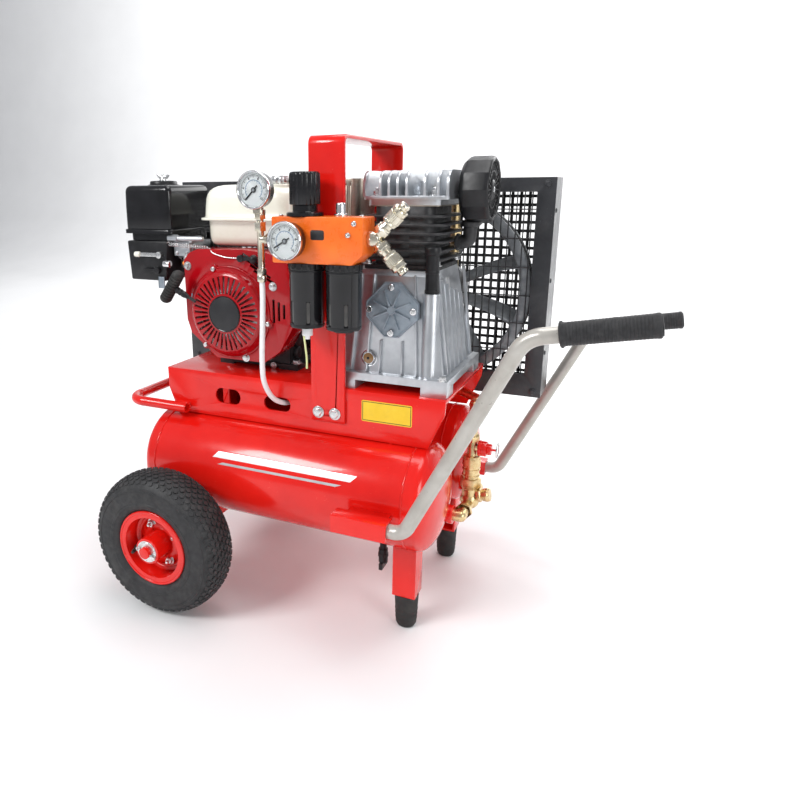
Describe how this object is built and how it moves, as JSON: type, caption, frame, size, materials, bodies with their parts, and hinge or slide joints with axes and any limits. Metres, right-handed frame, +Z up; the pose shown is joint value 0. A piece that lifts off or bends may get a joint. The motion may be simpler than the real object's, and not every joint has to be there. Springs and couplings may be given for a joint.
{
  "type": "wheelbarrow air compressor",
  "caption": "Petrol-driven wheelbarrow air compressor: engine, belt-driven piston pump and guard on a red frame with air tanks, wheels, feet and push handles.",
  "frame": {"origin": "on the floor, at the middle of the overall footprint", "axes": "+X towards the push handles, +Y towards the belt guard, +Z up; the wheels turn about Y"},
  "size_m": [0.9883, 0.618, 0.798],
  "materials": {
    "red_paint": "gloss",
    "engine_red": "gloss",
    "rubber": "matt",
    "tyre": "matt",
    "grey_tube": "satin",
    "zinc": "satin",
    "black_cast": "satin",
    "cream_paint": "gloss",
    "black_plastic": "matt",
    "cast_aluminium": "cast",
    "warm_steel": "satin",
    "orange": "gloss",
    "white_plastic": "gloss",
    "brass": "satin",
    "grey_iron": "satin",
    "guard_black": "satin",
    "nickel": "satin"
  },
  "bodies": {
    "frame": {"base_frame": "red_paint", "lifting_bracket": "red_paint", "front_tank": "red_paint", "rear_tank": "red_paint", "support_legs": "red_paint", "rubber_feet": "rubber", "axle": "red_paint", "handle_sockets": "red_paint", "handle_tubes": "grey_tube", "grips": "rubber", "machine_screws": "zinc", "engine_block": "black_cast", "fan_cover": "engine_red", "recoil_cover": "engine_red", "fuel_tank": "cream_paint", "air_cleaner": "black_plastic", "control_cover": "black_plastic", "carburettor": "cast_aluminium", "muffler": "warm_steel", "regulator_body": "orange", "filter_bowls": "black_plastic", "gauge_cases": "black_plastic", "gauge_stalk": "nickel", "air_tube": "white_plastic", "y_manifold": "nickel", "pump_crankcase": "cast_aluminium", "bearing_cover": "cast_aluminium", "cylinder_block": "black_cast", "cylinder_head": "cast_aluminium", "air_filter": "black_plastic", "delivery_pipe": "brass", "safety_valve": "red_paint", "v_belt": "rubber", "guard_frame": "guard_black", "guard_grille": "guard_black", "guard_mesh": "guard_black"},
    "wheel_near": {"tyre_near": "tyre", "rim_near": "red_paint"},
    "wheel_far": {"tyre_far": "tyre", "rim_far": "red_paint"},
    "pump_shaft": {"pump_crankshaft": "zinc", "flywheel": "grey_iron"},
    "engine_shaft": {"cooling_fan": "cast_aluminium", "engine_pulley": "grey_iron"},
    "starter_grip": {"recoil_grip": "black_plastic"},
    "choke": {"choke_lever": "zinc"},
    "fuel_tap": {"fuel_lever": "black_plastic"},
    "throttle": {"throttle_lever": "black_plastic"},
    "tank_cap": {"fuel_cap": "zinc"},
    "pressure_knob": {"regulator_knob": "black_plastic"},
    "bowl_tap": {"bowl_drain": "white_plastic"},
    "sleeve_upper": {"coupler_upper": "nickel"},
    "sleeve_lower": {"coupler_lower": "nickel"},
    "pointer_stalk": {"needle_stalk": "black_plastic"},
    "pointer_regulator": {"needle_regulator": "black_plastic"},
    "front_piston": {"piston_front": "cast_aluminium"},
    "rear_piston": {"piston_rear": "cast_aluminium"},
    "relief_ring": {"safety_ring": "zinc"},
    "front_drain": {"drain_cock_front": "black_plastic"},
    "rear_drain": {"drain_cock_rear": "black_plastic"}
  },
  "joints": [
    {"name": "wheel_near_spin", "type": "hinge", "parent": "frame", "child": "wheel_near", "pos_m": [-0.286, -0.255, 0.13], "axis": [0, 1, 0], "continuous": true},
    {"name": "wheel_far_spin", "type": "hinge", "parent": "frame", "child": "wheel_far", "pos_m": [-0.286, 0.255, 0.13], "axis": [0, 1, 0], "continuous": true},
    {"name": "pump_shaft_turn", "type": "hinge", "parent": "frame", "child": "pump_shaft", "pos_m": [0.074, 0.163, 0.536], "axis": [0, 1, 0], "continuous": true},
    {"name": "engine_shaft_turn", "type": "hinge", "parent": "frame", "child": "engine_shaft", "pos_m": [-0.224, 0.163, 0.512], "axis": [0, 1, 0], "continuous": true},
    {"name": "starter_pull", "type": "slide", "parent": "frame", "child": "starter_grip", "axis": [-0.8724, -0.1039, 0.4777], "range_m": [0, 0.45], "stiffness_N_per_m": 25, "springref_m": -0.15},
    {"name": "choke_turn", "type": "hinge", "parent": "frame", "child": "choke", "pos_m": [-0.378, -0.097, 0.6055], "axis": [0, 1, 0], "range_deg": [-20, 25]},
    {"name": "fuel_tap_turn", "type": "hinge", "parent": "frame", "child": "fuel_tap", "pos_m": [-0.384, -0.097, 0.577], "axis": [0, 1, 0], "range_deg": [-20, 20]},
    {"name": "throttle_turn", "type": "hinge", "parent": "frame", "child": "throttle", "pos_m": [-0.196, -0.111, 0.607], "axis": [0, 1, 0], "range_deg": [-18, 30]},
    {"name": "fuel_cap_turn", "type": "hinge", "parent": "frame", "child": "tank_cap", "pos_m": [-0.149, -0.048, 0.735], "axis": [0, 0, 1], "range_deg": [0, 90]},
    {"name": "regulator_turn", "type": "hinge", "parent": "frame", "child": "pressure_knob", "pos_m": [-0.041, -0.172, 0.72], "axis": [0, 0, 1], "range_deg": [-540, 540]},
    {"name": "bowl_drain_turn", "type": "hinge", "parent": "frame", "child": "bowl_tap", "pos_m": [-0.04, -0.172, 0.505], "axis": [0, 0, 1], "range_deg": [0, 180]},
    {"name": "upper_sleeve_slide", "type": "slide", "parent": "frame", "child": "sleeve_upper", "axis": [-0.7001, 0, -0.7141], "range_m": [0, 0.005], "stiffness_N_per_m": 1500, "springref_m": -0.002},
    {"name": "lower_sleeve_slide", "type": "slide", "parent": "frame", "child": "sleeve_lower", "axis": [-0.7001, 0, 0.7141], "range_m": [0, 0.005], "stiffness_N_per_m": 1500, "springref_m": -0.002},
    {"name": "stalk_pointer_turn", "type": "hinge", "parent": "frame", "child": "pointer_stalk", "pos_m": [-0.117, -0.192, 0.719], "axis": [0, 1, 0], "range_deg": [0, 270], "stiffness_Nm_per_rad": 0.002, "springref_deg": -28.65},
    {"name": "regulator_pointer_turn", "type": "hinge", "parent": "frame", "child": "pointer_regulator", "pos_m": [-0.053, -0.216, 0.647], "axis": [0, 1, 0], "range_deg": [0, 240], "stiffness_Nm_per_rad": 0.002, "springref_deg": -28.65},
    {"name": "front_piston_stroke", "type": "slide", "parent": "frame", "child": "front_piston", "axis": [0, 0, 1], "range_m": [-0.016, 0.016]},
    {"name": "rear_piston_stroke", "type": "slide", "parent": "frame", "child": "rear_piston", "axis": [0, 0, 1], "range_m": [-0.016, 0.016]},
    {"name": "relief_ring_pull", "type": "slide", "parent": "frame", "child": "relief_ring", "axis": [1, 0, 0], "range_m": [0, 0.006], "stiffness_N_per_m": 900, "springref_m": -0.002},
    {"name": "front_drain_turn", "type": "hinge", "parent": "frame", "child": "front_drain", "pos_m": [0.067, -0.105, 0.11], "axis": [0, 0, 1], "range_deg": [0, 360]},
    {"name": "rear_drain_turn", "type": "hinge", "parent": "frame", "child": "rear_drain", "pos_m": [0.067, 0.105, 0.11], "axis": [0, 0, 1], "range_deg": [0, 360]}
  ],
  "couplings": [
    {"joint": "engine_shaft_turn", "follows": "pump_shaft_turn", "ratio": 2.9483}
  ]
}
